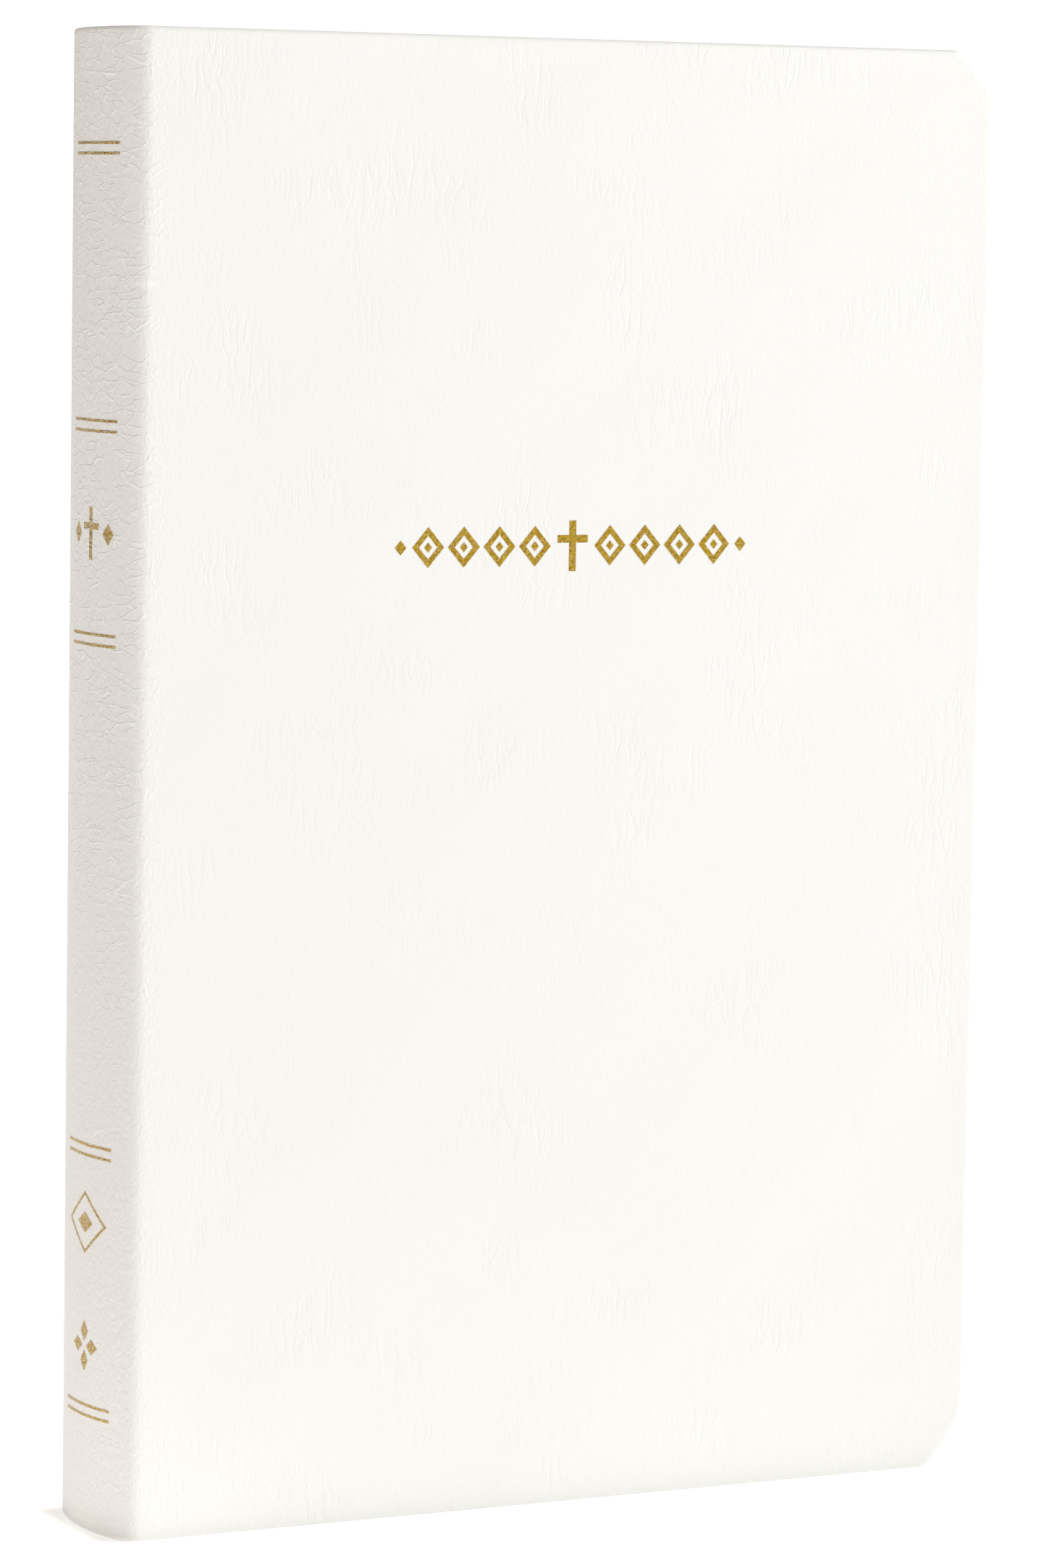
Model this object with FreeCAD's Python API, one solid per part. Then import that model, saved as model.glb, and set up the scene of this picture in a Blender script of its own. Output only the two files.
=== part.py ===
import FreeCAD, Part
import math
import os

# A slim Bible bound in soft imitation leather, standing closed on its tail.
# X runs from the spine to the fore-edge, Y from the front cover to the back
# cover and Z up the spine. The origin is the middle of the base. Millimetres.

V = FreeCAD.Vector
os.makedirs("parts", exist_ok=True)

# Driving dimensions.
book_width = 138.0          # spine's outermost line to the fore-edge of the covers
book_height = 210.0
book_thickness = 23.0       # over both covers
spine_radius = 30.0         # rounded back
shoulder_radius = 3.5       # where the back turns into the covers

skin_thickness = 0.80       # imitation leather
board_thickness = 0.70      # flexible board
turn_in_thickness = 0.30    # skived edge of the skin, folded over the board
turn_in_width = 15.0
pastedown_thickness = 0.15
leaf_thickness = 0.15
spine_card_thickness = 0.50
glue_reach = 0.35           # how far glue sinks between the folds
hinge_setback = 2.0         # cover hinge line, past the end of the shoulder
joint_width = 6.5           # soft joint between the hinge line and the board
paste_setback = 0.2         # pastedown and single leaves, past the hinge line
leaf_setback = 0.3
leaf_gap = 0.05             # middle leaf, clear of the glue
edge_round = 0.60           # folded edges of the skin
inner_round = 0.40

head_corner = (6.3, 6.6)    # fore-edge corners: along the edge, up the side
tail_corner = (6.5, 9.0)
corner_radius = 17.0        # the corners are cut on a shallow arc

square = 3.0                # covers stand past the pages by this much
signature_count = 24
signatures_per_group = 6
page_corner = 6.0
fold_round = 0.25
band_height = 2.0           # head and tail bands
band_depth = 2.0
band_half = 8.2             # half the bands' reach across the block

foil_depth = 0.11           # foil lies at the bottom of a shallow impression
foil_thickness = 0.05
foil_front_centre = (70.0, 138.4)
foil_line = 0.8             # width of a drawn line on the front
badge_line = 0.4            # and on the spine
front_cross_size = (3.6, 2.4, 1.1)  # half its height, half its width, width of a bar
cross_arm_rise = 1.0        # a cross's arms stand above its middle by this much
front_lozenges = 4          # open lozenges on each side of the front cross
front_first = 6.0           # first lozenge from the cross, then their step
front_step = 5.6
front_half = (2.5, 2.9)     # lozenges are given by their half-diagonals
front_dot_half = (0.62, 0.72)
front_end = 27.1            # small lozenge that ends the row, from the cross
front_end_half = (0.9, 1.05)

foil_spine_y = (-8.3, 4.7)  # stamped a little towards the front of the spine
rule_heights = (193.4, 155.3, 125.7, 54.2, 17.3)
rule_pitch = 1.45
rule_width = 0.4
spine_cross_z = 140.4
spine_cross_size = (3.7, 2.3, 0.9)
spine_side = 4.6            # lozenges beside the spine cross
spine_side_half = (1.3, 1.5)
badge_z = 43.9
badge_half = (5.6, 4.4)
badge_dot_half = (2.2, 1.5)
mark_z = 26.4               # four lozenges around this height
mark_reach = 2.1
mark_long = 1.5
mark_short = 1.1

# Cutting shapes reach past what they cut by "beyond"; lengths under "touch" are
# taken as none, and chips of less than smallest_chip mm3 are dropped.
beyond = 1.0
touch = 1e-6
smallest_chip = 1e-4

# Worked-out dimensions.
half = book_thickness / 2.0
shoulder_y = half - shoulder_radius
shoulder_x = spine_radius - math.sqrt((spine_radius - shoulder_radius) ** 2 - shoulder_y ** 2)
join_angle = math.asin(shoulder_y / (spine_radius - shoulder_radius))
hinge_x = shoulder_x + hinge_setback
cover_skin = skin_thickness + board_thickness + turn_in_thickness
cover_total = cover_skin + pastedown_thickness
block_half = half - cover_total
board_x = hinge_x + joint_width
leaf_x = hinge_x + leaf_setback
origin_shift = V(-book_width / 2.0, 0, 0)
signature_total = 2 * block_half - 4 * leaf_thickness
signature_thickness = signature_total / signature_count
block_start = -block_half + 2 * leaf_thickness
half_stack = signatures_per_group * signature_thickness
crease_y = (block_start + half_stack,
            block_start + 2 * half_stack,
            block_start + 3 * half_stack + leaf_thickness)
page_z = (square, book_height - square)


def block(x0, x1, y0, y1, z0, z1):
    """A plain box between two corners."""
    return Part.makeBox(x1 - x0, y1 - y0, z1 - z0, V(x0, y0, z0))


def outline(depth, x_end, z0, z1):
    """The closed book's section, shrunk inwards by depth and made z0 to z1 tall."""
    c = math.cos(join_angle)
    s = math.sin(join_angle)
    big = spine_radius - depth
    small = shoulder_radius - depth
    y_flat = half - depth
    join_x = spine_radius - big * c
    join_y = big * s
    mid = (math.pi / 2.0 + join_angle) / 2.0
    knee_x = shoulder_x - small * math.cos(mid)
    knee_y = shoulder_y + small * math.sin(mid)
    edges = [
        Part.makeLine(V(x_end, -y_flat, z0), V(shoulder_x, -y_flat, z0)),
        Part.Arc(V(shoulder_x, -y_flat, z0), V(knee_x, -knee_y, z0),
                 V(join_x, -join_y, z0)).toShape(),
        Part.Arc(V(join_x, -join_y, z0), V(depth, 0, z0), V(join_x, join_y, z0)).toShape(),
        Part.Arc(V(join_x, join_y, z0), V(knee_x, knee_y, z0),
                 V(shoulder_x, y_flat, z0)).toShape(),
        Part.makeLine(V(shoulder_x, y_flat, z0), V(x_end, y_flat, z0)),
        Part.makeLine(V(x_end, y_flat, z0), V(x_end, -y_flat, z0)),
    ]
    return Part.Face(Part.Wire(edges)).extrude(V(0, 0, z1 - z0))


def shell(d0, d1, z0, z1, x_end=None):
    """The curved layer of the spine between two depths."""
    end = hinge_x if x_end is None else x_end
    return outline(d0, end, z0, z1).cut(outline(d1, end + beyond, z0 - beyond, z1 + beyond))


def spine_x(y, depth):
    """How far in the section of that depth lies at y."""
    a = abs(y)
    if a <= (spine_radius - depth) * math.sin(join_angle):
        return spine_radius - math.sqrt((spine_radius - depth) ** 2 - a ** 2)
    small = shoulder_radius - depth
    return shoulder_x - math.sqrt(max(small ** 2 - (a - shoulder_y) ** 2, 0.0))


def corner_mid(p, q):
    """The middle of the shallow arc from p to q, bowed away from the cover's middle."""
    dx = q[0] - p[0]
    dz = q[1] - p[1]
    chord = math.hypot(dx, dz)
    sag = corner_radius - math.sqrt(corner_radius ** 2 - chord ** 2 / 4.0)
    mx = (p[0] + q[0]) / 2.0
    mz = (p[1] + q[1]) / 2.0
    nx = abs(dz) / chord
    nz = abs(dx) / chord
    if mz < book_height / 2.0:
        nz = -nz
    return (mx + nx * sag, mz + nz * sag)


def cover_plate(x0, inset, y0, y1):
    """A cover-shaped plate with arc-cut fore-edge corners, inset from three edges."""
    x1 = book_width - inset
    z0 = inset
    z1 = book_height - inset
    a = (x1 - tail_corner[0], z0)
    b = (x1, z0 + tail_corner[1])
    c = (x1, z1 - head_corner[1])
    d = (x1 - head_corner[0], z1)
    m0 = corner_mid(a, b)
    m1 = corner_mid(c, d)

    def at(p):
        return V(p[0], y0, p[1])

    edges = [
        Part.makeLine(at((x0, z0)), at(a)),
        Part.Arc(at(a), at(m0), at(b)).toShape(),
        Part.makeLine(at(b), at(c)),
        Part.Arc(at(c), at(m1), at(d)).toShape(),
        Part.makeLine(at(d), at((x0, z1))),
        Part.makeLine(at((x0, z1)), at((x0, z0))),
    ]
    return Part.Face(Part.Wire(edges)).extrude(V(0, y1 - y0, 0))


def round_rim(plate, y, radius):
    """Rounds the rim of a cover plate on its face at y, but not along the hinge."""
    rim = []
    for edge in plate.Edges:
        box = edge.BoundBox
        flat = abs(box.YMin - y) < touch and abs(box.YMax - y) < touch
        if flat and box.XMax > hinge_x + touch:
            rim.append(edge)
    return plate.makeFillet(radius, rim)


def lozenge(cy, cz, ry, rz):
    """A diamond of half-diagonals ry and rz, as points across and up."""
    return [(cy - ry, cz), (cy, cz - rz), (cy + ry, cz), (cy, cz + rz)]


def bar(y0, y1, z0, z1):
    """A rectangle, as points across and up."""
    return [(y0, z0), (y1, z0), (y1, z1), (y0, z1)]


def cross(cy, cz, size):
    """A plain upright cross as one closed outline."""
    rise, reach, width = size
    arm_z = cz + cross_arm_rise
    w = width / 2.0
    z0 = cz - rise
    z1 = cz + rise
    return [(cy - w, z0), (cy + w, z0), (cy + w, arm_z - w), (cy + reach, arm_z - w),
            (cy + reach, arm_z + w), (cy + w, arm_z + w), (cy + w, z1), (cy - w, z1),
            (cy - w, arm_z + w), (cy - reach, arm_z + w), (cy - reach, arm_z - w),
            (cy - w, arm_z - w)]


def stamp(points, along):
    """A prism with the outline given; along is X for the spine, Y for the front."""
    if along == "x":
        ring = [V(-beyond, p[0], p[1]) for p in points]
        step = V(beyond + hinge_x, 0, 0)
    else:
        ring = [V(p[0], -half - beyond, p[1]) for p in points]
        step = V(0, beyond + cover_total, 0)
    ring.append(ring[0])
    return Part.Face(Part.makePolygon(ring)).extrude(step)


def fuse_all(shapes):
    """One shape from a list of them."""
    whole = shapes[0]
    if len(shapes) > 1:
        whole = whole.multiFuse(shapes[1:])
    return whole


parts = {}


def keep(name, shape):
    """Stores a part, moved so that the origin is the middle of the base."""
    solids = [s for s in shape.Solids if s.Volume > smallest_chip]
    if len(solids) == 1:
        whole = solids[0]
    else:
        whole = Part.makeCompound(solids)
    whole = whole.copy()
    whole.translate(origin_shift)
    if not whole.isValid():
        print("NOT VALID", name)
    parts[name] = whole
    print("%-28s solids %2d  volume %10.2f mm3" % (name, len(solids), whole.Volume))


# Gold foil, as outlines.
fx, fz = foil_front_centre


def lozenge_ring(cx, cz, rx, rz, line, along):
    """A diamond drawn as an even line."""
    slope = math.hypot(rx, rz) * line
    inner = lozenge(cx, cz, rx - slope / rz, rz - slope / rx)
    return stamp(lozenge(cx, cz, rx, rz), along).cut(stamp(inner, along))


# The row on the front: a cross, open lozenges on both sides, and a small one at each end.
front_stamps = [stamp(cross(fx, fz, front_cross_size), "y")]
for side in (-1.0, 1.0):
    for k in range(front_lozenges):
        cx = fx + side * (front_first + front_step * k)
        front_stamps.append(lozenge_ring(cx, fz, front_half[0], front_half[1], foil_line, "y"))
        front_stamps.append(stamp(lozenge(cx, fz, front_dot_half[0], front_dot_half[1]), "y"))
    end_x = fx + side * front_end
    front_stamps.append(stamp(lozenge(end_x, fz, front_end_half[0], front_end_half[1]), "y"))

# The spine: pairs of rules, a cross between lozenges, a badge and a mark of four lozenges.
fy = sum(foil_spine_y) / 2.0
spine_marks = []
for pair_z in rule_heights:
    for k in (-0.5, 0.5):
        low = pair_z + k * rule_pitch - rule_width / 2
        spine_marks.append(bar(foil_spine_y[0], foil_spine_y[1], low, low + rule_width))
spine_marks.append(cross(fy, spine_cross_z, spine_cross_size))
for side in (-1.0, 1.0):
    side_y = fy + side * spine_side
    spine_marks.append(lozenge(side_y, spine_cross_z, spine_side_half[0], spine_side_half[1]))
    spine_marks.append(lozenge(fy + side * mark_reach, mark_z, mark_long, mark_short))
    spine_marks.append(lozenge(fy, mark_z + side * mark_reach, mark_short, mark_long))
spine_marks.append(lozenge(fy, badge_z, badge_dot_half[0], badge_dot_half[1]))
spine_stamps = [stamp(m, "x") for m in spine_marks]
spine_stamps.append(lozenge_ring(fy, badge_z, badge_half[0], badge_half[1], badge_line, "x"))

front_tool = fuse_all(front_stamps)
spine_tool = fuse_all(spine_stamps)

# Covers.
for side, sign in (("front", -1.0), ("back", 1.0)):
    y_out = sign * half
    y_board0 = sign * (half - skin_thickness)
    y_board1 = sign * (half - skin_thickness - board_thickness)
    y_in = sign * (half - cover_skin)
    y_paste = sign * (half - cover_total)
    plate = cover_plate(hinge_x, 0.0, y_out, y_in)
    plate = round_rim(plate, y_out, edge_round)
    plate = round_rim(plate, y_in, inner_round)
    board = cover_plate(board_x, skin_thickness, y_board0, y_board1)
    infill = cover_plate(board_x, turn_in_width, y_board1, y_in)
    paste = cover_plate(hinge_x + paste_setback, square, y_in, y_paste)
    skin = plate.cut(board).cut(infill)
    if side == "front":
        bottom = -half + foil_depth
        floor = block(0, book_width, bottom - foil_thickness, bottom, 0, book_height)
        pocket = block(0, book_width, -half - beyond / 2, bottom, 0, book_height)
        keep("front_foil_device", front_tool.common(floor))
        skin = skin.cut(front_tool.common(pocket))
    keep(side + "_cover_skin", skin)
    keep(side + "_board", board)
    keep(side + "_infill_sheet", infill)
    keep(side + "_pastedown", paste)

# Text block.
fore_edge = book_width - square
page_width = fore_edge - spine_x(block_start, cover_total)
groups = [[], [], [], []]
y = block_start
for k in range(signature_count):
    group = k // signatures_per_group
    if k == 2 * signatures_per_group:
        y += leaf_thickness
    y1 = y + signature_thickness
    x0 = max(spine_x(y, cover_total), spine_x(y1, cover_total))
    x1 = x0 + page_width
    sheet = block(x0, x1, y, y1, page_z[0], page_z[1])
    corners = []
    folds = []
    for edge in sheet.Edges:
        box = edge.BoundBox
        if box.YLength > touch and box.XMin > x1 - touch:
            corners.append(edge)
    sheet = sheet.makeFillet(page_corner, corners)
    for edge in sheet.Edges:
        box = edge.BoundBox
        if box.ZLength > page_corner and box.XMax < x0 + touch:
            folds.append(edge)
    sheet = sheet.makeFillet(fold_round, folds)
    groups[group].append(sheet)
    keep("signature_%02d" % (k + 1), sheet)
    y = y1


def leaf(x0, x1, y0, y1):
    """One single leaf with the pages' rounded corners."""
    sheet = block(x0, x1, y0, y1, page_z[0], page_z[1])
    corners = []
    for edge in sheet.Edges:
        box = edge.BoundBox
        if box.YLength > touch and box.XMin > x1 - touch:
            corners.append(edge)
    return sheet.makeFillet(page_corner, corners)


y0 = -block_half
keep("front_flyleaf", leaf(leaf_x, fore_edge, y0, y0 + leaf_thickness))
keep("title_leaf", leaf(leaf_x, fore_edge, y0 + leaf_thickness, y0 + 2 * leaf_thickness))
keep("back_flyleaf", leaf(leaf_x, fore_edge, block_half - leaf_thickness, block_half))
middle_x = cover_total + glue_reach + leaf_gap
y0 = crease_y[1]
keep("middle_leaf", leaf(middle_x, cover_total + page_width, y0, y0 + leaf_thickness))

# Spine, in four strips that part at the openings.
envelope = outline(0.0, hinge_x, 0.0, book_height)
rim = []
for edge in envelope.Edges:
    box = edge.BoundBox
    level = box.ZLength < touch
    if level and box.XMin < hinge_x - touch:
        rim.append(edge)
envelope = envelope.makeFillet(edge_round, rim)
inside = outline(cover_total, hinge_x + beyond, -beyond, book_height + beyond)
wrap = envelope.cut(inside)
card = shell(skin_thickness, skin_thickness + spine_card_thickness,
             skin_thickness, book_height - skin_thickness)
mull_outer = skin_thickness + spine_card_thickness
mull_slot = shell(mull_outer, cover_total, turn_in_width, book_height - turn_in_width)
glue = shell(mull_outer, cover_total + glue_reach, turn_in_width, book_height - turn_in_width,
             hinge_x)
front_flange = block(shoulder_x, leaf_x, -block_half, block_start, page_z[0], page_z[1])
back_flange = block(shoulder_x, leaf_x, block_half - leaf_thickness, block_half, page_z[0], page_z[1])
spine_skin = wrap.cut(card).cut(mull_slot)
foil_floor = shell(foil_depth - foil_thickness, foil_depth, edge_round, book_height - edge_round)
foil_pocket = shell(-foil_depth, foil_depth, edge_round, book_height - edge_round)
spine_skin = spine_skin.cut(spine_tool.common(foil_pocket))
spine_foil = spine_tool.common(foil_floor)
band_outer = spine_radius - cover_total
band_hole = Part.makeCylinder(band_outer - band_depth, band_height + 2 * beyond, V(spine_radius, 0, -beyond))
band_ring = Part.makeCylinder(band_outer, band_height, V(spine_radius, 0, 0)).cut(band_hole)
band_limit = block(-beyond, spine_radius / 2, -band_half, band_half, -beyond, band_height + beyond)

limits = (-half - beyond,) + crease_y + (half + beyond,)
for k in range(4):
    y0 = limits[k]
    y1 = limits[k + 1]
    cutter = block(-beyond, leaf_x + beyond, y0, y1, -beyond, book_height + beyond)
    keep("spine_skin_%d" % (k + 1), spine_skin.common(cutter))
    keep("spine_card_%d" % (k + 1), card.common(cutter))
    paper = groups[k]
    strip = glue.common(cutter)
    if k == 0:
        strip = strip.fuse(front_flange)
    if k == 3:
        strip = strip.fuse(back_flange)
    for sheet in paper:
        strip = strip.cut(sheet)
    strip = strip.removeSplitter()
    keep("spine_mull_%d" % (k + 1), strip)
    band = band_ring.common(cutter).common(band_limit)
    tail = band.copy()
    tail.translate(V(0, 0, page_z[0] - band_height))
    head = band.copy()
    head.translate(V(0, 0, page_z[1]))
    keep("head_band_%d" % (k + 1), head)
    keep("tail_band_%d" % (k + 1), tail)
    if k < 3:
        keep("spine_foil_%d" % (k + 1), spine_foil.common(cutter))

# Sizes and export.
whole = Part.makeCompound(list(parts.values()))
box = whole.optimalBoundingBox(False)
print("box X %.3f %.3f  Y %.3f %.3f  Z %.3f %.3f" % (box.XMin, box.XMax, box.YMin, box.YMax,
                                                    box.ZMin, box.ZMax))
print("hinge x %.4f  y %.4f" % (hinge_x - book_width / 2, half))
print("leaf pivot x %.4f  y %.4f" % (leaf_x - book_width / 2, block_half))
for y in crease_y:
    x = spine_radius - math.sqrt(spine_radius ** 2 - y ** 2) - book_width / 2
    print("crease x %.4f  y %.4f" % (x, y))
print("signature thickness %.4f  page width %.3f" % (signature_thickness, page_width))
print("parts", len(parts))
for name, shape in parts.items():
    shape.exportStep(os.path.join("parts", name + ".step"))
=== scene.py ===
import math

import bpy
import numpy as np
from mathutils import Matrix, Vector


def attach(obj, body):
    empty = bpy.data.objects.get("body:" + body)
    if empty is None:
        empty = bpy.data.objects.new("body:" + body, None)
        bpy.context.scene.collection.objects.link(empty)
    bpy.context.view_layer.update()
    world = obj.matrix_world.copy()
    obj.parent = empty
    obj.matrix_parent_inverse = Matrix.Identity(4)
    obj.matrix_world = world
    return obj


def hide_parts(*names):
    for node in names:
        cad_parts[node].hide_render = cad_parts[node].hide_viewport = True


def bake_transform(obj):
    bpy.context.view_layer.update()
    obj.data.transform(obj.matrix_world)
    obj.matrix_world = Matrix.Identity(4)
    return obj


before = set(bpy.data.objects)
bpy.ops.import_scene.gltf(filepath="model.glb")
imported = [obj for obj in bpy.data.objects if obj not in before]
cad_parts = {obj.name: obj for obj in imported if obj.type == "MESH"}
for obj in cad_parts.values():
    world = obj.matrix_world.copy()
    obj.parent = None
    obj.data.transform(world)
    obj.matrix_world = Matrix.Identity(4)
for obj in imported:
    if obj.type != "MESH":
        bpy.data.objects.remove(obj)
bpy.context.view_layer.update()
mm = 0.001
quarter, fullTurn = math.pi / 2, 2 * math.pi

# the closed book, in millimetres
book = {
    "width": 138.0, "height": 210.0, "thickness": 23.0,
    "spineRadius": 30.0, "shoulderRadius": 3.5,
    "hingeSetback": 2.0,            # hinge line past the shoulder, then the soft joint
    "jointWidth": 6.5,
    "pasteSetback": 0.2,            # pastedown and single leaves past the hinge line
    "leafSetback": 0.3,
    "headCorner": (6.3, 6.6), "tailCorner": (6.5, 9.0), "cornerRadius": 17.0,
    "coverTotal": 1.95, "leaf": 0.15,
    "square": 3.0, "pageCorner": 6.0,
    "sections": 24, "perGroup": 6,
    "outlineStart": -60.0,          # outlines run on this far past the spine
}
half = book["thickness"] / 2
spineR, shoulderR = book["spineRadius"], book["shoulderRadius"]
shoulderY = half - shoulderR
shoulderX = spineR - math.sqrt((spineR - shoulderR) ** 2 - shoulderY ** 2)
joinAngle = math.asin(shoulderY / (spineR - shoulderR))
arcLength = spineR * joinAngle
flatStart = arcLength + shoulderR * (quarter - joinAngle)   # path length where the cover goes flat
coverEnd = flatStart + book["width"] - shoulderX
toX = -book["width"] / 2            # from the spine's outermost line to the frame's X
hingeX = shoulderX + book["hingeSetback"]
leafX = hingeX + book["leafSetback"]
blockHalf = half - book["coverTotal"]
sheetThick = (2 * blockHalf - 4 * book["leaf"]) / book["sections"]
blockStart = -blockHalf + 2 * book["leaf"]
groupThick = book["perGroup"] * sheetThick
creases = [blockStart + groupThick,             # the three opening lines, by their Y
           blockStart + 2 * groupThick,
           blockStart + 3 * groupThick + book["leaf"]]
seams = [-6.7, -2.3, 2.4, 6.8]                  # where the leather pieces meet on the spine
groupNames = ["front_pages", "front_middle_pages", "rear_middle_pages", "rear_pages"]


# Point of the closed book's outer section in the frame's X and Y: a wide arc of spineR about
# the spine, a small arc of shoulderR at each side, then the flat cover. path is the signed
# length from the middle of the spine, negative towards the front; depth goes inwards.
def section(path, depth=0.0):
    away = np.abs(path)
    onWide, onFlat = away <= arcLength, away > flatStart
    onShoulder = joinAngle + (away - arcLength) / shoulderR
    angle = np.where(onWide, away / spineR, np.where(onFlat, quarter, onShoulder))
    centreX = np.where(onWide, spineR, shoulderX)
    centreY = np.where(onWide, 0.0, shoulderY)
    radius = np.where(onWide, spineR, shoulderR) - depth
    x = centreX - radius * np.cos(angle) + np.maximum(away - flatStart, 0.0)
    y = centreY + radius * np.sin(angle)
    return x + toX, y * np.where(path < 0, -1, 1)


# Path length of the section's point at y: radius times angle, on the wide arc or the shoulder.
def pathFromY(y):
    away = np.abs(y)
    wide = spineR * np.arcsin(np.clip(away / spineR, 0, 1))
    turn = np.arcsin(np.clip((away - shoulderY) / shoulderR, 0, 1))
    small = arcLength + shoulderR * (turn - joinAngle)
    return np.sign(y) * np.where(wide <= arcLength, wide, small)


# How far in from the spine's outermost line the flat cover lies at this path length.
def acrossFromPath(path):
    return np.abs(path) - flatStart + shoulderX


# Points by cosine and sine on the arc of cornerRadius from p to q, bowed towards bow.
def arcPoints(p, q, bow, count=24):
    p, q = np.array(p, float), np.array(q, float)
    chord = np.linalg.norm(q - p)
    r = book["cornerRadius"]
    aside = np.array([q[1] - p[1], p[0] - q[0]]) / chord
    aside = aside if np.dot(aside, bow) > 0 else -aside
    centre = (p + q) / 2 - aside * math.sqrt(r * r - chord * chord / 4)
    start = math.atan2(*(p - centre)[::-1])
    end = math.atan2(*(q - centre)[::-1])
    t = np.linspace(start, end, count)
    return np.stack([centre[0] + r * np.cos(t), centre[1] + r * np.sin(t)], 1)


# The low and the high corner curve, joined, with straight runs to the spine at both ends.
def closeOutline(low, high, z0, z1):
    return np.vstack([[[book["outlineStart"], z0]], low, high, [[book["outlineStart"], z1]]])


# The cover's outline in the flat: tail edge, arc, fore-edge, arc, head edge.
def coverOutline(inset=0.0):
    x1, z0, z1 = book["width"] - inset, inset, book["height"] - inset
    tailX, tailZ = book["tailCorner"]
    headX, headZ = book["headCorner"]
    low = arcPoints((x1 - tailX, z0), (x1, z0 + tailZ), (1, -1))
    high = arcPoints((x1, z1 - headZ), (x1 - headX, z1), (1, 1))
    return closeOutline(low, high, z0, z1)


# A page's outline in the flat: quarter circles of pageCorner at the fore-edge.
def pageOutline(x1, z0, z1, count=14):
    r = book["pageCorner"]
    t = np.linspace(0, quarter, count)
    low = np.stack([x1 - r + r * np.sin(t), z0 + r - r * np.cos(t)], 1)
    high = np.stack([x1 - r + r * np.cos(t), z1 - r + r * np.sin(t)], 1)
    return closeOutline(low, high, z0, z1)


# Distance from each point to the nearest segment of the outline.
def edgeDistance(x, z, outline):
    start, run = outline[:-1], outline[1:] - outline[:-1]
    px, pz = x[..., None] - start[:, 0], z[..., None] - start[:, 1]
    t = np.clip((px * run[:, 0] + pz * run[:, 1]) / (run ** 2).sum(1), 0, 1)
    return np.sqrt((px - t * run[:, 0]) ** 2 + (pz - t * run[:, 1]) ** 2).min(-1)


# Lowest and highest z of the outline at each x.
def outlineLimits(x, outline):
    middle = len(outline) // 2
    low, high = outline[:middle], outline[middle:][::-1]
    return np.interp(x, low[:, 0], low[:, 1]), np.interp(x, high[:, 0], high[:, 1])


# Heights for a grid: even shares of the way from the outline's low side to its high side.
def fillHeights(x, outline, count):
    low, high = outlineLimits(x, outline)
    share = np.linspace(0, 1, count)[None, :]
    return low[:, None] * (1 - share) + high[:, None] * share


# Positions from start to end in even steps, with the closer steps of edges at the named ends.
def spread(start, end, step, edges=(), atStart=False, atEnd=False):
    startZone = edges[-1] if atStart else 0.0
    endZone = edges[-1] if atEnd else 0.0
    count = max(2, int(round((end - start - startZone - endZone) / step)) + 1)
    runs = [np.linspace(start + startZone, end - endZone, count)]
    if atStart:
        runs.insert(0, start + edges[:-1])
    if atEnd:
        runs.append(end - edges[:-1][::-1])
    return np.concatenate(runs)


# A column of values repeated over the rows of a grid.
def widen(column, count):
    return np.repeat(column[:, None], count, 1)


def addObject(name, data):
    obj = bpy.data.objects.new(name, data)
    bpy.context.scene.collection.objects.link(obj)
    return obj


# A mesh from arrays: corners in millimetres, faces of four, and each corner's place on the
# flat material, kept in metres as the attribute surfacePlace.
def makeMesh(name, verts, quads, place, materials, slots=None, sharp=40):
    mesh = bpy.data.meshes.new(name)
    mesh.vertices.add(len(verts))
    mesh.vertices.foreach_set("co", (verts * mm).astype(np.float32).ravel())
    mesh.loops.add(quads.size)
    mesh.loops.foreach_set("vertex_index", quads.astype(np.int32).ravel())
    mesh.polygons.add(len(quads))
    mesh.polygons.foreach_set("loop_start", np.arange(0, quads.size, 4, dtype=np.int32))
    mesh.polygons.foreach_set("loop_total", np.full(len(quads), 4, dtype=np.int32))
    for material in materials:
        mesh.materials.append(material)
    if slots is not None:
        mesh.polygons.foreach_set("material_index", slots.astype(np.int32))
    mesh.update(calc_edges=True)
    mesh.polygons.foreach_set("use_smooth", np.ones(len(quads), dtype=bool))
    mesh.set_sharp_from_angle(angle=math.radians(sharp))
    layer = mesh.attributes.new("surfacePlace", "FLOAT_VECTOR", "POINT")
    layer.data.foreach_set("vector", (place * mm).astype(np.float32).ravel())
    mesh.validate()
    return addObject(name, mesh)


# Joins two grids of the same size into one closed shell: both faces and the rim round them.
# Gives back the corners, the faces, the places and a mask of the rim's faces.
def closeShell(outer, inner, outerPlace, innerPlace, flip=False):
    rows, columns = outer.shape[:2]
    total = rows * columns
    k = np.arange(total).reshape(rows, columns)
    a, b, c, d = k[:-1, :-1].ravel(), k[1:, :-1].ravel(), k[1:, 1:].ravel(), k[:-1, 1:].ravel()
    top = np.stack([a, b, c, d], 1)
    bottom = np.stack([d, c, b, a], 1) + total
    ring = np.concatenate([k[:, 0], k[-1, 1:], k[:-1, -1][::-1], k[0, 1:-1][::-1]])
    following = np.roll(ring, -1)
    rim = np.stack([following, ring, ring + total, following + total], 1)
    quads = np.vstack([top, bottom, rim])
    if flip:
        quads = quads[:, ::-1]
    verts = np.vstack([outer.reshape(-1, 3), inner.reshape(-1, 3)])
    place = np.vstack([outerPlace.reshape(-1, 3), innerPlace.reshape(-1, 3)])
    isRim = np.arange(len(quads)) >= 2 * len(top)
    return verts, quads, place, isRim


# Places on the flat material: path length across, height up, and a depth.
def flatPlace(path, z, depth=0.0):
    return np.stack([path, z, np.full_like(z, depth)], -1)


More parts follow.
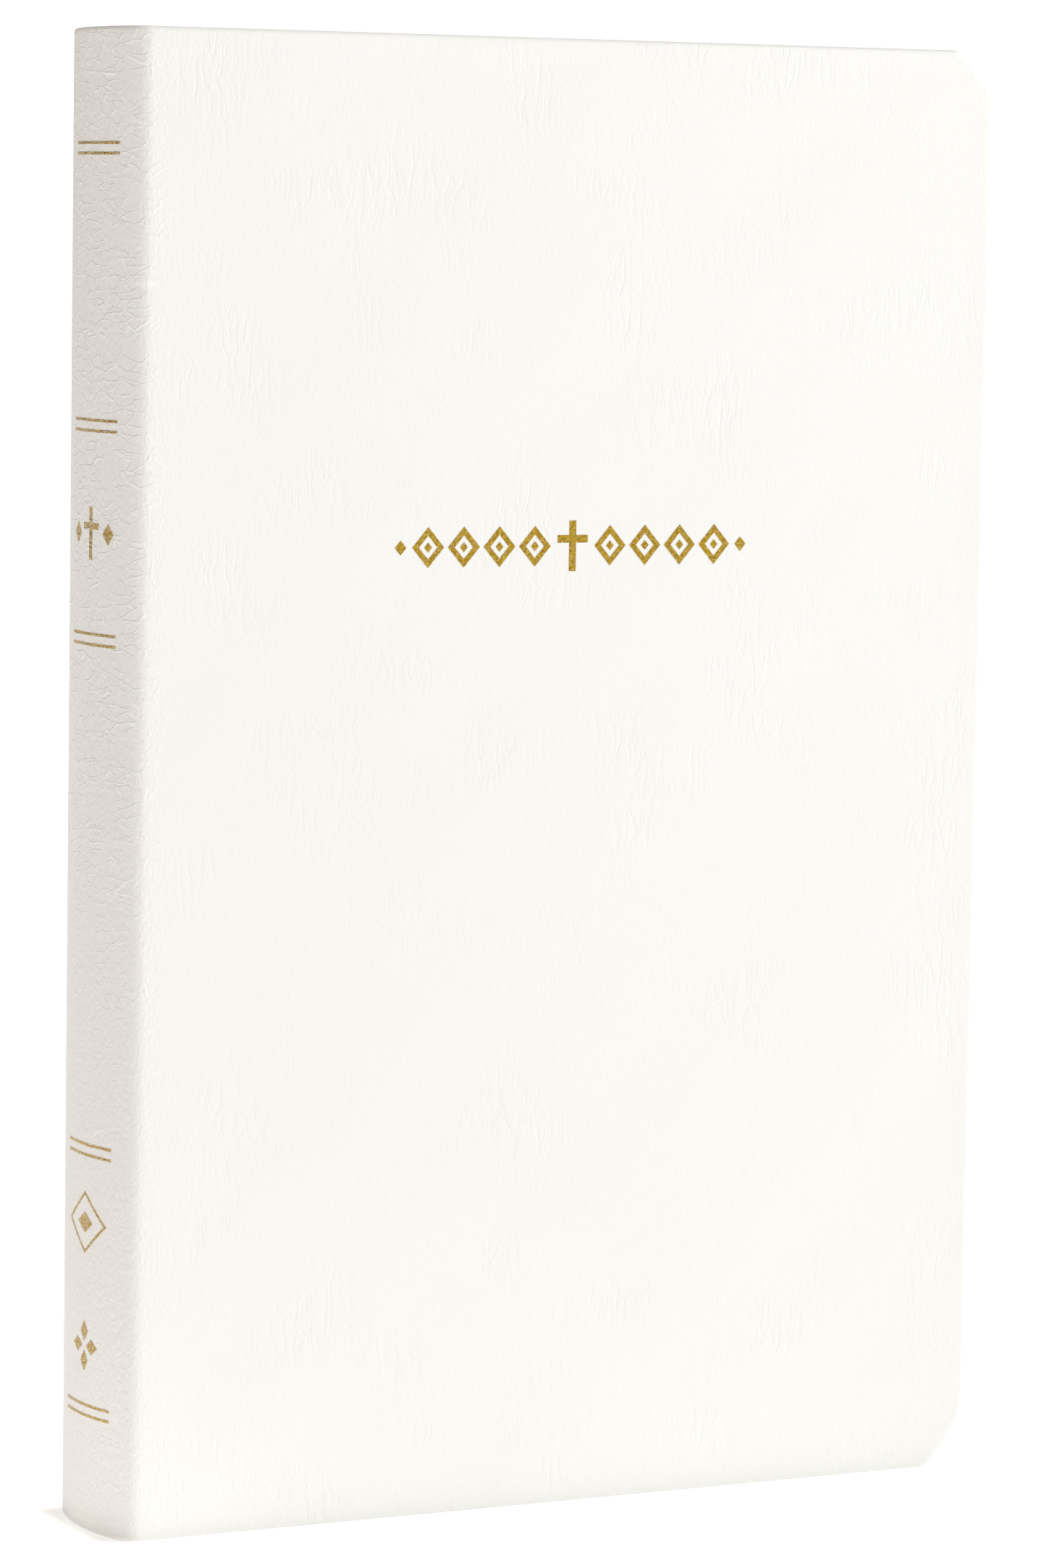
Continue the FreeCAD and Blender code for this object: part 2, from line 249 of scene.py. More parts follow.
leather = {
    "thickness": 1.8, "edgeRound": 0.62, "rowStep": 2.2,
    "roundSteps": 8,                # columns round an edge, then the next ones' distances
    "edgeSteps": [1.15, 1.6, 2.3, 3.4],
    "cornerZone": 12.0,             # rows this near an end keep their distance from it
    "innerPlace": 7.0,              # the inner face's depth on the flat material
    # columns over the back, the shoulder, the hinge strip and the soft joint
    "backSteps": 5, "shoulderSteps": 12, "stripSteps": 4, "jointSteps": 17,
    "coverStep": 2.3, "foreZone": 9.5, "foreStep": 0.6, "spineStep": 0.3,
    "waveHeight": 0.07,             # slow unevenness of the covers
    "waveInset": 4.0, "waveFade": 10.0,
    # each wave: its length across and up, its start and its share
    "waves": [(61.0, 97.0, 0.6, 1.0), (-125.66, 43.0, 0.0, 0.7), (27.0, 27.0, 2.0, 0.5)],
}
roundTurn = np.linspace(0, quarter, leather["roundSteps"])
edgeSteps = np.concatenate([leather["edgeRound"] * (1 - np.cos(roundTurn)), leather["edgeSteps"]])


# Slow unevenness of the covers: crossed sine waves, each of its own length, start and share.
def leatherWave(path, z):
    total = 0.0
    for across, up, start, share in leather["waves"]:
        total = total + share * np.sin(path * fullTurn / across + z * fullTurn / up + start)
    return leather["waveHeight"] * total / sum(wave[3] for wave in leather["waves"])


# How far the skin's outer face lies under the book's box: a quarter round near the outline,
# and the slow wave elsewhere.
def leatherDepth(path, z, outline):
    across = acrossFromPath(path)
    distance = edgeDistance(across, z, outline)
    r = leather["edgeRound"]
    near = np.clip(r - distance, 0, r)
    inset = np.clip(distance / leather["waveInset"], 0, 1)
    fade = inset * np.clip((across - hingeX) / leather["waveFade"], 0, 1)
    return r - np.sqrt(r * r - near * near), fade * (leatherWave(path, z) + leather["waveHeight"])


# The wrapped skin over a range of path: an outer face that follows the section, an inner face
# under it, both rounded over the outline's edges, and closed all round.
def leatherPiece(name, paths, material):
    outline = coverOutline()
    low, high = outlineLimits(acrossFromPath(paths), outline)
    rows = spread(0.0, book["height"], leather["rowStep"], edgeSteps, True, True)
    zone = leather["cornerZone"]
    tall = np.clip((rows - zone) / (book["height"] - 2 * zone), 0, 1)
    fromLow = low[:, None] + rows
    fromHigh = high[:, None] + rows - book["height"]
    z = fromLow * (1 - tall) + fromHigh * tall
    path = widen(paths, len(rows))
    rounding, wave = leatherDepth(path, z, outline)
    outer = np.stack([*section(path, rounding + wave), z], -1)
    inner = np.stack([*section(path, leather["thickness"] - rounding), z], -1)
    under = flatPlace(path, z, leather["innerPlace"])
    verts, quads, place, _ = closeShell(outer, inner, flatPlace(path, z), under, flip=True)
    return makeMesh(name, verts, quads, place, [material])


# Path lengths from the spine's seam over the shoulder and the soft joint to the fore-edge.
def coverPaths(sign, seamPath):
    jointFrom = flatStart + book["hingeSetback"]
    jointTo = jointFrom + book["jointWidth"]
    foreFrom = coverEnd - leather["foreZone"]
    runs = [np.linspace(seamPath, arcLength, leather["backSteps"])[:-1],
            np.linspace(arcLength, flatStart, leather["shoulderSteps"])[:-1],
            np.linspace(flatStart, jointFrom, leather["stripSteps"])[:-1],
            np.linspace(jointFrom, jointTo, leather["jointSteps"])[:-1],
            spread(jointTo, foreFrom, leather["coverStep"])[:-1],
            spread(foreFrom, coverEnd, leather["foreStep"], edgeSteps, False, True)]
    return sign * np.concatenate(runs)


print("surfaces ready")


# A shader node group: a place and named numbers go in, named numbers come out.
def newGroup(name, inputs, outputs):
    group = bpy.data.node_groups.new(name, "ShaderNodeTree")
    group.interface.new_socket("Place", in_out="INPUT", socket_type="NodeSocketVector")
    for label in inputs:
        group.interface.new_socket(label, in_out="INPUT", socket_type="NodeSocketFloat")
    for label in outputs:
        group.interface.new_socket(label, in_out="OUTPUT", socket_type="NodeSocketFloat")
    return group, group.nodes.new("NodeGroupInput"), group.nodes.new("NodeGroupOutput")


# One node: settings are its properties or input values, links join sockets to its inputs.
def node(tree, kind, links=(), **settings):
    made = tree.nodes.new("ShaderNode" + kind)
    for key, value in settings.items():
        if hasattr(made, key):
            setattr(made, key, value)
        else:
            made.inputs[key.replace("_", " ")].default_value = value
    for source, target in links:
        tree.links.new(source, made.inputs[target])
    return made


# Links a socket, or sets a plain value, on one input.
def feed(tree, value, target):
    if hasattr(value, "node"):
        tree.links.new(value, target)
    else:
        target.default_value = value


# a and b, sockets or numbers, put through one arithmetic step.
def calculate(tree, operation, a, b=None, clamp=False):
    made = node(tree, "Math", operation=operation, use_clamp=clamp)
    feed(tree, a, made.inputs[0])
    if b is not None:
        feed(tree, b, made.inputs[1])
    return made.outputs[0]


# The same for vectors.
def calculateVector(tree, operation, a, b=None):
    made = node(tree, "VectorMath", [(a, 0)], operation=operation)
    if b is not None:
        feed(tree, b, made.inputs[1])
    return made


def scaled(tree, vector, factors):
    return calculateVector(tree, "MULTIPLY", vector, factors).outputs[0]


# A value moved evenly from one range to another, and held at its ends.
def ranged(tree, value, source, target=(0.0, 1.0), kind="LINEAR"):
    made = node(tree, "MapRange", [(value, 0)], interpolation_type=kind, From_Min=source[0],
                From_Max=source[1])
    feed(tree, target[0], made.inputs["To Min"])
    feed(tree, target[1], made.inputs["To Max"])
    return made.outputs[0]


def noise(tree, vector, size, detail):
    return node(tree, "TexNoise", [(vector, "Vector")], Scale=size, Detail=detail)


# The relief's fixed values. Sizes are in cells per metre.
grainShape = {
    "bendSize": 420.0, "bendReach": 0.0012,         # cells are bent by this much, in metres
    "pebbleSlope": 4.0,
    "wrinkleSize": (520.0, 170.0, 1.0), "wrinkleSharp": 22.0,
    "wrinklePatch": 60.0, "wrinkleFrom": (0.46, 0.66),
    "netSquash": (0.5, 1.0, 0.0), "netSharp": 17.0, "gapSize": 230.0, "gapFrom": (0.40, 0.52),
    "toothSize": 3200.0,
}


# Leather relief in millimetres of height. Pebbles: distance to the edges of bent cells.
# Wrinkles: thin lines, broken up by noise. Net: creases round larger cells. Tooth: fine noise.
def leatherGrainGroup():
    shape = grainShape
    inputs = ["Pebble Size", "Stretch", "Net Size", "Pebble Height", "Wrinkle Height",
              "Net Height", "Tooth Height"]
    g, given, result = newGroup("leatherGrain", inputs, ["Height", "Net"])
    place = given.outputs["Place"]
    parts = node(g, "SeparateXYZ", [(place, 0)])
    tall = calculate(g, "MULTIPLY", parts.outputs[1], given.outputs["Stretch"])
    flat = node(g, "CombineXYZ", [(parts.outputs[0], 0), (tall, 1)]).outputs[0]
    bend = noise(g, flat, shape["bendSize"], 2.0)
    push = scaled(g, bend.outputs["Color"], (shape["bendReach"], shape["bendReach"], 0.0))
    moved = calculateVector(g, "ADD", flat, push).outputs[0]
    pebble = node(g, "TexVoronoi", [(moved, "Vector"), (given.outputs["Pebble Size"], "Scale")],
                  feature="DISTANCE_TO_EDGE").outputs["Distance"]
    dome = calculate(g, "MULTIPLY", pebble, shape["pebbleSlope"], True)
    pebbleUp = calculate(g, "MULTIPLY", dome, given.outputs["Pebble Height"])

    # thin upright wrinkles: a line wherever a tall, narrow noise crosses its middle value
    slim = noise(g, scaled(g, moved, shape["wrinkleSize"]), 1.0, 3.0).outputs[0]
    offMiddle = calculate(g, "ABSOLUTE", calculate(g, "SUBTRACT", slim, 0.5))
    slope = calculate(g, "MULTIPLY", offMiddle, shape["wrinkleSharp"], True)
    line = calculate(g, "SUBTRACT", 1.0, slope)
    broken = noise(g, place, shape["wrinklePatch"], 3.0).outputs[0]
    somewhere = ranged(g, broken, shape["wrinkleFrom"])
    lines = calculate(g, "MULTIPLY", line, somewhere)
    wrinkle = calculate(g, "MULTIPLY", lines, given.outputs["Wrinkle Height"])

    # the net of creases: narrow ridges between larger cells, missing in places
    wide = calculateVector(g, "ADD", scaled(g, place, shape["netSquash"]), push).outputs[0]
    cells = node(g, "TexVoronoi", [(wide, "Vector"), (given.outputs["Net Size"], "Scale")],
                 feature="DISTANCE_TO_EDGE").outputs["Distance"]
    away = calculate(g, "MULTIPLY", cells, shape["netSharp"], True)
    ridge = calculate(g, "SUBTRACT", 1.0, away)
    gaps = noise(g, place, shape["gapSize"], 2.0).outputs[0]
    net = calculate(g, "MULTIPLY", ridge, ranged(g, gaps, shape["gapFrom"]))
    netUp = calculate(g, "MULTIPLY", net, given.outputs["Net Height"])

    tooth = noise(g, place, shape["toothSize"], 2.0).outputs[0]
    toothUp = calculate(g, "MULTIPLY", tooth, given.outputs["Tooth Height"])
    small = calculate(g, "ADD", pebbleUp, toothUp)
    height = calculate(g, "ADD", small, calculate(g, "SUBTRACT", netUp, wrinkle))
    g.links.new(height, result.inputs["Height"])
    g.links.new(net, result.inputs["Net"])
    return g


# Paper tone and height: soft clouds mixed with a fine fibre.
def paperFibreGroup():
    fibreSize, cloudShare = 2600.0, 0.7
    g, given, result = newGroup("paperFibre", ["Cloud Size"], ["Tone", "Height"])
    place = given.outputs["Place"]
    cloud = node(g, "TexNoise", [(place, "Vector"), (given.outputs["Cloud Size"], "Scale")],
                 Detail=4.0).outputs[0]
    fibre = noise(g, place, fibreSize, 3.0).outputs[0]
    soft = calculate(g, "MULTIPLY", cloud, cloudShare)
    tone = calculate(g, "ADD", soft, calculate(g, "MULTIPLY", fibre, 1 - cloudShare))
    g.links.new(tone, result.inputs["Tone"])
    g.links.new(fibre, result.inputs["Height"])
    return g


leatherGrain = leatherGrainGroup()
paperFibre = paperFibreGroup()


def newMaterial(name, color, roughness, metallic=0.0):
    material = bpy.data.materials.new(name)
    material.use_nodes = True
    material.diffuse_color = (*color, 1)
    tree = material.node_tree
    shader = tree.nodes["Principled BSDF"]
    shader.inputs["Base Color"].default_value = (*color, 1)
    shader.inputs["Roughness"].default_value = roughness
    shader.inputs["Metallic"].default_value = metallic
    return material, tree, shader


# Where on the material: the piece's own flat place, or its object coordinates.
def placeSocket(tree, kind="surfacePlace"):
    if kind == "object":
        return node(tree, "TexCoord").outputs["Object"]
    return node(tree, "Attribute", attribute_name=kind).outputs["Vector"]


# Two colours mixed by a factor: a where it is none, b where it is full.
def colorMix(tree, factor, a, b):
    made = node(tree, "Mix", [(factor, 0)], data_type="RGBA")
    for place, value in ((6, a), (7, b)):
        feed(tree, value if hasattr(value, "node") else (*value, 1), made.inputs[place])
    return made.outputs[2]


def tinted(color, share):
    return tuple(min(1.0, c * share) for c in color)


def bump(tree, height, strength, distance, shader):
    made = node(tree, "Bump", [(height, "Height")], Strength=strength, Distance=distance)
    tree.links.new(made.outputs[0], shader.inputs["Normal"])


leatherLook = {
    "color": (0.90, 0.885, 0.855), "lowColor": (0.893, 0.877, 0.846),
    "cloudSize": 34.0, "cloudFrom": (0.35, 0.7),
    "roughness": 0.46, "hollowRough": 0.05, "topRough": -0.03, "reliefRange": (0.0, 0.03),
    "pebbleSize": 1150.0, "stretch": 0.62, "netSize": 640.0,
    # heights of the relief in millimetres
    "coverPebble": 0.012, "spinePebble": 0.036, "toothHeight": 0.008,
    "coverWrinkle": 0.03, "spineWrinkle": 0.006, "coverNet": 0.005, "spineNet": 0.062,
    # in metres: half width of the spine's grain, and the heights where its net fades
    "spineReach": 0.012, "fadeWidth": 0.005, "netFade": (0.05, 0.125), "netAtTail": 0.2,
    # painted highlight: a paler colour on the net's ridges, and how much of it is used
    "ridgeHighlightColor": (0.97, 0.96, 0.945), "ridgeHighlightShare": 0.8,
}


# One value on the spine and another on the covers, with an even change over the shoulder,
# by the distance from the middle of the spine.
def fading(tree, place, spineValue, coverValue):
    across = calculate(tree, "ABSOLUTE", node(tree, "SeparateXYZ", [(place, 0)]).outputs[0])
    reach = leatherLook["spineReach"]
    return ranged(tree, across, (reach, reach + leatherLook["fadeWidth"]),
                  (spineValue, coverValue))


# The same fade, made less towards the tail by the height.
def netAmount(tree, place, spineValue, coverValue):
    tall = node(tree, "SeparateXYZ", [(place, 0)]).outputs[1]
    share = ranged(tree, tall, leatherLook["netFade"], (leatherLook["netAtTail"], 1.0))
    return calculate(tree, "MULTIPLY", fading(tree, place, spineValue, coverValue), share)


# The shared grain with the book's sizes. The net of creases is strong on the upper spine,
# weaker towards the tail, and fades out over the shoulders.
def leatherRelief(tree, place):
    look = leatherLook
    net = netAmount(tree, place, look["spineNet"], look["coverNet"])
    pebble = fading(tree, place, look["spinePebble"], look["coverPebble"])
    wrinkle = fading(tree, place, look["spineWrinkle"], look["coverWrinkle"])
    links = [(place, "Place"), (net, "Net Height"), (pebble, "Pebble Height"),
             (wrinkle, "Wrinkle Height")]
    return node(tree, "Group", links, node_tree=leatherGrain, Pebble_Size=look["pebbleSize"],
                Stretch=look["stretch"], Net_Size=look["netSize"],
                Tooth_Height=look["toothHeight"])


# Base colour: two close whites mixed by soft clouds, and a painted highlight that makes the net's
# ridges paler.
# Roughness: a little higher in hollows. Bump: the shared grain.
def whiteLeather():
    look = leatherLook
    material, tree, shader = newMaterial("whiteLeather", look["color"], look["roughness"])
    place = placeSocket(tree)
    grain = leatherRelief(tree, place)
    clouds = noise(tree, place, look["cloudSize"], 3.0).outputs[0]
    base = colorMix(tree, ranged(tree, clouds, look["cloudFrom"]), look["color"], look["lowColor"])
    # painted highlight on the net's ridges, with less of it towards the tail
    amount = netAmount(tree, place, look["ridgeHighlightShare"], 0.0)
    ridgeHighlight = calculate(tree, "MULTIPLY", grain.outputs["Net"], amount)
    color = colorMix(tree, ridgeHighlight, base, look["ridgeHighlightColor"])
    tree.links.new(color, shader.inputs["Base Color"])
    ends = (look["roughness"] + look["hollowRough"], look["roughness"] + look["topRough"])
    rough = ranged(tree, grain.outputs["Height"], look["reliefRange"], ends)
    tree.links.new(rough, shader.inputs["Roughness"])
    bump(tree, grain.outputs["Height"], 1.0, mm, shader)
    return material


foilLook = {
    "color": (0.51, 0.33, 0.034), "deepColor": (0.32, 0.185, 0.014),
    "roughness": (0.28, 0.55), "fleckSize": 2400.0, "fleckFrom": (0.42, 0.60),
    "wearSize": 5600.0, "wearFrom": 0.645, "wearSoft": 0.06,
    "spineWear": 0.088,             # more foil is missing on the spine
}


# Base colour: gold mixed with a deeper gold in fine flecks, and leather showing where the
# foil is missing. Metallic: none where it is missing. Roughness: uneven in the same flecks.
# Bump: the leather's grain showing through.
def goldFoil():
    look = foilLook
    material, tree, shader = newMaterial("goldFoil", look["color"], look["roughness"][0], 1.0)
    place = placeSocket(tree)
    grain = leatherRelief(tree, place)
    fleck = noise(tree, place, look["fleckSize"], 3.0).outputs[0]
    dark = ranged(tree, fleck, look["fleckFrom"])
    gold = colorMix(tree, dark, look["color"], look["deepColor"])
    patches = noise(tree, place, look["wearSize"], 1.0).outputs[0]
    worn = calculate(tree, "ADD", patches, fading(tree, place, look["spineWear"], 0.0))
    bare = ranged(tree, worn, (look["wearFrom"], look["wearFrom"] + look["wearSoft"]))
    tree.links.new(colorMix(tree, bare, gold, leatherLook["color"]), shader.inputs["Base Color"])
    tree.links.new(calculate(tree, "SUBTRACT", 1.0, bare), shader.inputs["Metallic"])
    rough = ranged(tree, fleck, (0.0, 1.0), look["roughness"])
    tree.links.new(rough, shader.inputs["Roughness"])
    bump(tree, grain.outputs["Height"], 1.0, mm, shader)
    return material


paperLook = {
    "page": (0.90, 0.885, 0.84), "end": (0.93, 0.925, 0.90), "print": (0.30, 0.29, 0.28),
    "deepShare": 0.955, "roughness": 0.8, "cloudSize": 70.0,
    "reliefStrength": 0.25, "reliefHeight": 0.00003,
    # the printed columns in metres: each one's sides, their tail and head, and the lines
    "columns": [(-0.056, -0.0045), (0.0005, 0.052)], "printHeight": (0.018, 0.193),
    "linePitch": 0.0031, "lineShare": (0.25, 0.62),
    "wordSize": 560.0, "rowShift": 7.3, "wordFrom": 0.46, "inkShare": 0.42,
}


# 1 where the value lies between two limits, else 0.
def between(tree, value, limits):
    over = calculate(tree, "GREATER_THAN", value, limits[0])
    return calculate(tree, "MULTIPLY", over, calculate(tree, "LESS_THAN", value, limits[1]))


# How much ink: columns, cut into lines by the height, broken into word lengths by noise.
def printMask(tree, place):
    look = paperLook
    parts = node(tree, "SeparateXYZ", [(place, 0)])
    x, z = parts.outputs[0], parts.outputs[2]
    left, right = (between(tree, x, sides) for sides in look["columns"])
    columns = calculate(tree, "MAXIMUM", left, right)
    printed = calculate(tree, "MULTIPLY", columns, between(tree, z, look["printHeight"]))
    lines = calculate(tree, "MULTIPLY", z, 1 / look["linePitch"])
    inLine = between(tree, calculate(tree, "FRACT", lines), look["lineShare"])
    row = calculate(tree, "MULTIPLY", calculate(tree, "FLOOR", lines), look["rowShift"])
    along = calculate(tree, "MULTIPLY", x, look["wordSize"])
    word = node(tree, "CombineXYZ", [(along, 0), (row, 1)]).outputs[0]
    gaps = noise(tree, word, 1.0, 2.0).outputs[0]
    words = calculate(tree, "GREATER_THAN", gaps, look["wordFrom"])
    mask = calculate(tree, "MULTIPLY", printed, calculate(tree, "MULTIPLY", inLine, words))
    return calculate(tree, "MULTIPLY", mask, look["inkShare"])


# Paper: two close tones mixed by the fibre, and on printed pages the grey of the columns.
def pagePaper(name, base, printed):
    look = paperLook
    material, tree, shader = newMaterial(name, base, look["roughness"])
    place = placeSocket(tree)
    fibre = node(tree, "Group", [(place, "Place")], node_tree=paperFibre,
                 Cloud_Size=look["cloudSize"])
    paper = colorMix(tree, fibre.outputs["Tone"], base, tinted(base, look["deepShare"]))
    if printed:
        paper = colorMix(tree, printMask(tree, place), paper, look["print"])
    tree.links.new(paper, shader.inputs["Base Color"])
    bump(tree, fibre.outputs["Height"], look["reliefStrength"], look["reliefHeight"], shader)
    return material


edgeLook = {
    "color": (0.93, 0.915, 0.875), "deepColor": (0.62, 0.59, 0.54), "plainColor": (0.88, 0.865, 0.82),
    "roughness": 0.75, "thin": (14.0, 5200.0, 14.0), "wide": (9.0, 1300.0, 9.0), "thinShare": 0.6,
    "toneFrom": (0.3, 0.7), "reliefStrength": 0.6, "reliefHeight": 0.00012,
}


# Cut edges of many leaves: thin and wide streaks across the block, of uneven tone and height.
def pageEdge():
    look = edgeLook
    material, tree, shader = newMaterial("pageEdge", look["plainColor"], look["roughness"])
    place = placeSocket(tree)
    thin = noise(tree, scaled(tree, place, look["thin"]), 1.0, 2.0).outputs[0]
    wide = noise(tree, scaled(tree, place, look["wide"]), 1.0, 3.0).outputs[0]
    wideUp = calculate(tree, "MULTIPLY", wide, 1 - look["thinShare"])
    streak = calculate(tree, "ADD", calculate(tree, "MULTIPLY", thin, look["thinShare"]), wideUp)
    tone = ranged(tree, streak, look["toneFrom"])
    color = colorMix(tree, tone, look["color"], look["deepColor"])
    tree.links.new(color, shader.inputs["Base Color"])
    bump(tree, streak, look["reliefStrength"], look["reliefHeight"], shader)
    return material


cardLook = {
    "paleShare": 1.08, "deepShare": 0.8, "roughness": 0.85,
    "reliefStrength": 0.5, "reliefHeight": 0.0001,
}


# Pressed card: a paler and a deeper tone mixed by the fibre.
def cardMaterial(name, color, cloudSize):
    look = cardLook
    material, tree, shader = newMaterial(name, color, look["roughness"])
    fibre = node(tree, "Group", [(placeSocket(tree, "object"), "Place")], node_tree=paperFibre,
                 Cloud_Size=cloudSize)
    mixed = colorMix(tree, fibre.outputs["Tone"], tinted(color, look["paleShare"]),
                     tinted(color, look["deepShare"]))
    tree.links.new(mixed, shader.inputs["Base Color"])
    bump(tree, fibre.outputs["Height"], look["reliefStrength"], look["reliefHeight"], shader)
    return material


# deepShare in the cloth and the thread: the painted shade in the hollows between threads
clothLook = {
    "color": (0.82, 0.79, 0.70), "deepShare": 0.72, "pitch": 0.0011, "roughness": 0.8,
    "reliefStrength": 0.6, "reliefHeight": 0.00015,
}
threadLook = {
    "color": (0.90, 0.88, 0.83), "deepShare": 0.66, "pitch": 0.00055, "roughness": 0.55,
    "reliefStrength": 0.8, "reliefHeight": 0.00012,
}


# A sine along one direction, one full turn for each pitch.
def sineAlong(tree, value, pitch):
    return calculate(tree, "SINE", calculate(tree, "MULTIPLY", value, fullTurn / pitch))


# Colour and bump from a sine or a product of sines, moved to run from none to full. The colour is a
# painted shade, deeper in the hollows between the threads.
def threadShadeAndBump(tree, wave, look, shader):
    ridge = calculate(tree, "MULTIPLY", calculate(tree, "ADD", wave, 1.0), 0.5)
    # painted shade: the deeper tone falls where the relief is low
    color = colorMix(tree, ridge, tinted(look["color"], look["deepShare"]), look["color"])
    tree.links.new(color, shader.inputs["Base Color"])
    bump(tree, ridge, look["reliefStrength"], look["reliefHeight"], shader)


# Open plain weave: the product of an upright and a level sine.
def mullCloth():
    look = clothLook
    material, tree, shader = newMaterial("mullCloth", look["color"], look["roughness"])
    parts = node(tree, "SeparateXYZ", [(placeSocket(tree, "object"), 0)])
    around = calculate(tree, "ADD", parts.outputs[1], parts.outputs[0])
    across = sineAlong(tree, around, look["pitch"])
    up = sineAlong(tree, parts.outputs[2], look["pitch"])
    threadShadeAndBump(tree, calculate(tree, "MULTIPLY", up, across), look, shader)
    return material


# Sewn band: close wraps along the path, each a rounded thread.
def bandThread():
    look = threadLook
    material, tree, shader = newMaterial("bandThread", look["color"], look["roughness"])
    along = node(tree, "SeparateXYZ", [(placeSocket(tree), 0)]).outputs[0]
    threadShadeAndBump(tree, sineAlong(tree, along, look["pitch"]), look, shader)
    return material


leatherMat = whiteLeather()
foilMat = goldFoil()
pageMat = pagePaper("pagePaper", paperLook["page"], True)
endMat = pagePaper("plainPaper", paperLook["end"], False)
edgeMat = pageEdge()
threadMat = bandThread()
boardMat = cardMaterial("boardCard", (0.56, 0.53, 0.47), 240.0)
linerMat = cardMaterial("linerCard", (0.74, 0.71, 0.64), 300.0)
infillMat = cardMaterial("infillPaper", (0.82, 0.80, 0.74), 120.0)
clothMat = mullCloth()
print("materials ready")


# Bakes a cover piece's placement into its mesh.
def jointBlend(obj):
    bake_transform(obj)


# Bakes the placement of a piece on the spine into its mesh.
def creaseBlend(obj):
    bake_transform(obj)


seamPaths = pathFromY(np.array(seams))
leatherFront = leatherPiece("leatherFront", coverPaths(-1, -seamPaths[0])[::-1], leatherMat)
leatherBack = leatherPiece("leatherBack", coverPaths(1, seamPaths[3]), leatherMat)
spineLeather = []
for k in range(3):
    paths = spread(seamPaths[k], seamPaths[k + 1], leather["spineStep"])
    spineLeather.append(leatherPiece("leatherSpine%d" % (k + 1), paths, leatherMat))
    creaseBlend(spineLeather[k])
jointBlend(leatherFront)
jointBlend(leatherBack)
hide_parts("front_cover_skin", "spine_skin_1")
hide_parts("back_cover_skin", "spine_skin_4")
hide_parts("spine_skin_2", "spine_skin_3")
print("leather skin ready")

# Gold marks, in millimetres. Lozenges are given by their half-diagonals, and a cross by half
# its height, half its width and the width of a bar.
foilMarks = {
    "frontCentre": (70.0, 138.4), "frontCross": (3.6, 2.4, 1.1), "armRise": 1.0,
    "frontCount": 4, "frontFirst": 6.0, "frontStep": 5.6, "frontHalf": (2.5, 2.9),
    "frontLine": 0.8, "frontDot": (0.62, 0.72), "frontEnd": 27.1, "frontEndHalf": (0.9, 1.05),
    "spineY": (-8.3, 4.7), "ruleHeights": (193.4, 155.3, 125.7, 54.2, 17.3),
    "rulePitch": 1.45, "ruleWidth": 0.4,
    "crossHeight": 140.4, "spineCross": (3.7, 2.3, 0.9), "besideCross": 4.6, "besideHalf": (1.3, 1.5),
    "badgeHeight": 43.9, "badgeHalf": (5.6, 4.4), "badgeLine": 0.4, "badgeDot": (2.2, 1.5),
    "markHeight": 26.4, "markReach": 2.1, "markLong": 1.5, "markShort": 1.1,
    "stand": 0.03, "under": 0.055,  # the foil's faces, above the leather and in it
    "widthStep": 0.35, "rows": 4,
    "least": 0.01,                  # narrower runs are left out
    "farFront": -12.0,              # past the first mark on the spine
}


# A mark is a list of runs: where each starts and ends across, and its lower and upper line.
# A bar is one run between two level lines.
def barMark(start, end, z0, z1):
    return [(start, end, lambda s: np.full_like(s, z0), lambda s: np.full_like(s, z1))]


# Half height of a diamond: it shrinks evenly with the distance from its middle.
def diamondHeight(s, cx, size):
    return size[1] * np.clip(1 - np.abs(s - cx) / size[0], 0, 1)


# One side of a diamond, lower or upper by sign, as a function of the way across.
def diamondSide(cx, cz, sign, size):
    return lambda s: cz + sign * diamondHeight(s, cx, size)


# A filled diamond, in two runs that meet at its middle.
def lozengeMark(cx, cz, size):
    low, high = diamondSide(cx, cz, -1, size), diamondSide(cx, cz, 1, size)
    return [(cx - size[0], cx, low, high), (cx, cx + size[0], low, high)]


# A diamond drawn as an even line: the outer diamond less an inner one.
def ringMark(cx, cz, size, line):
    slope = math.hypot(*size) * line
    inner = (size[0] - slope / size[1], size[1] - slope / size[0])
    turns = [cx - size[0], cx - inner[0], cx, cx + inner[0], cx + size[0]]
    marks = []
    for start, end in zip(turns[:-1], turns[1:]):
        marks.append((start, end, diamondSide(cx, cz, 1, inner), diamondSide(cx, cz, 1, size)))
        marks.append((start, end, diamondSide(cx, cz, -1, size), diamondSide(cx, cz, -1, inner)))
    return marks


# An upright bar and two arms.
def crossMark(cx, cz, size):
    rise, reach, width = size
    w, armZ = width / 2, cz + foilMarks["armRise"]
    return (barMark(cx - w, cx + w, cz - rise, cz + rise)
            + barMark(cx - reach, cx - w, armZ - w, armZ + w)
            + barMark(cx + w, cx + reach, armZ - w, armZ + w))


# Thin gold patches on the skin: each run is cut to the piece's limits, laid on the section
# and closed into a thin plate.
def foilPiece(name, marks, toPath, limits):
    verts, quads, places, count = [], [], [], 0
    outline = coverOutline()
    rows = foilMarks["rows"]
    share = np.linspace(0, 1, rows)[None, :]
    for start, end, low, high in marks:
        start, end = max(start, limits[0]), min(end, limits[1])
        if end - start < foilMarks["least"]:
            continue
        s = np.linspace(start, end, max(3, int((end - start) / foilMarks["widthStep"]) + 2))
        z = low(s)[:, None] * (1 - share) + high(s)[:, None] * share
        path = widen(toPath(s), rows)
        _, wave = leatherDepth(path, z, outline)
        outer = np.stack([*section(path, wave - foilMarks["stand"]), z], -1)
        inner = np.stack([*section(path, wave + foilMarks["under"]), z], -1)
        flat = flatPlace(path, z)
        ends = toPath(np.array([start, end]))
        patch, faces, place, _ = closeShell(outer, inner, flat, flat, flip=ends[1] > ends[0])
        verts.append(patch)
        quads.append(faces + count)
        places.append(place)
        count += len(patch)
    return makeMesh(name, np.vstack(verts), np.vstack(quads), np.vstack(places), [foilMat])


